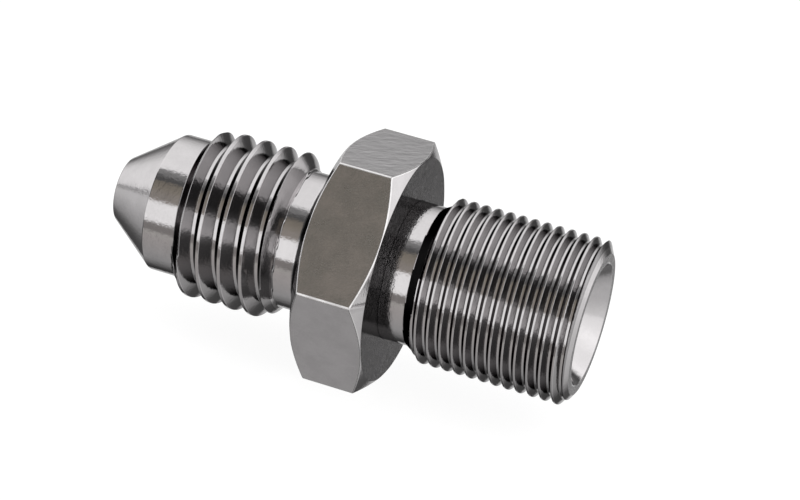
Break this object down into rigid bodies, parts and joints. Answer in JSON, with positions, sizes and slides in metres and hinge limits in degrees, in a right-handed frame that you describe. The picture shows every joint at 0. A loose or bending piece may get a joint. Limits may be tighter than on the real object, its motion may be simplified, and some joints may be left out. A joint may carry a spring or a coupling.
{
  "type": "straight adapter fitting",
  "caption": "Straight hydraulic adapter: male flare nose with coarse thread on one side of a spanner hexagon, male fine thread with a 60 degree cone seat on the other.",
  "frame": {"origin": "on the bore axis, half way between the nose tip and the seat-side end ring", "axes": "+X along the bore axis from the flare nose to the cone seat; +Z the outward normal of a hexagon flat, so the fitting lies on the opposite flat; +Y completes the right-hand frame"},
  "size_m": [0.0412, 0.022, 0.019],
  "materials": {
    "polished_steel": "bright polished"
  },
  "bodies": {
    "root": {"fitting_body": "polished_steel"}
  },
  "joints": []
}
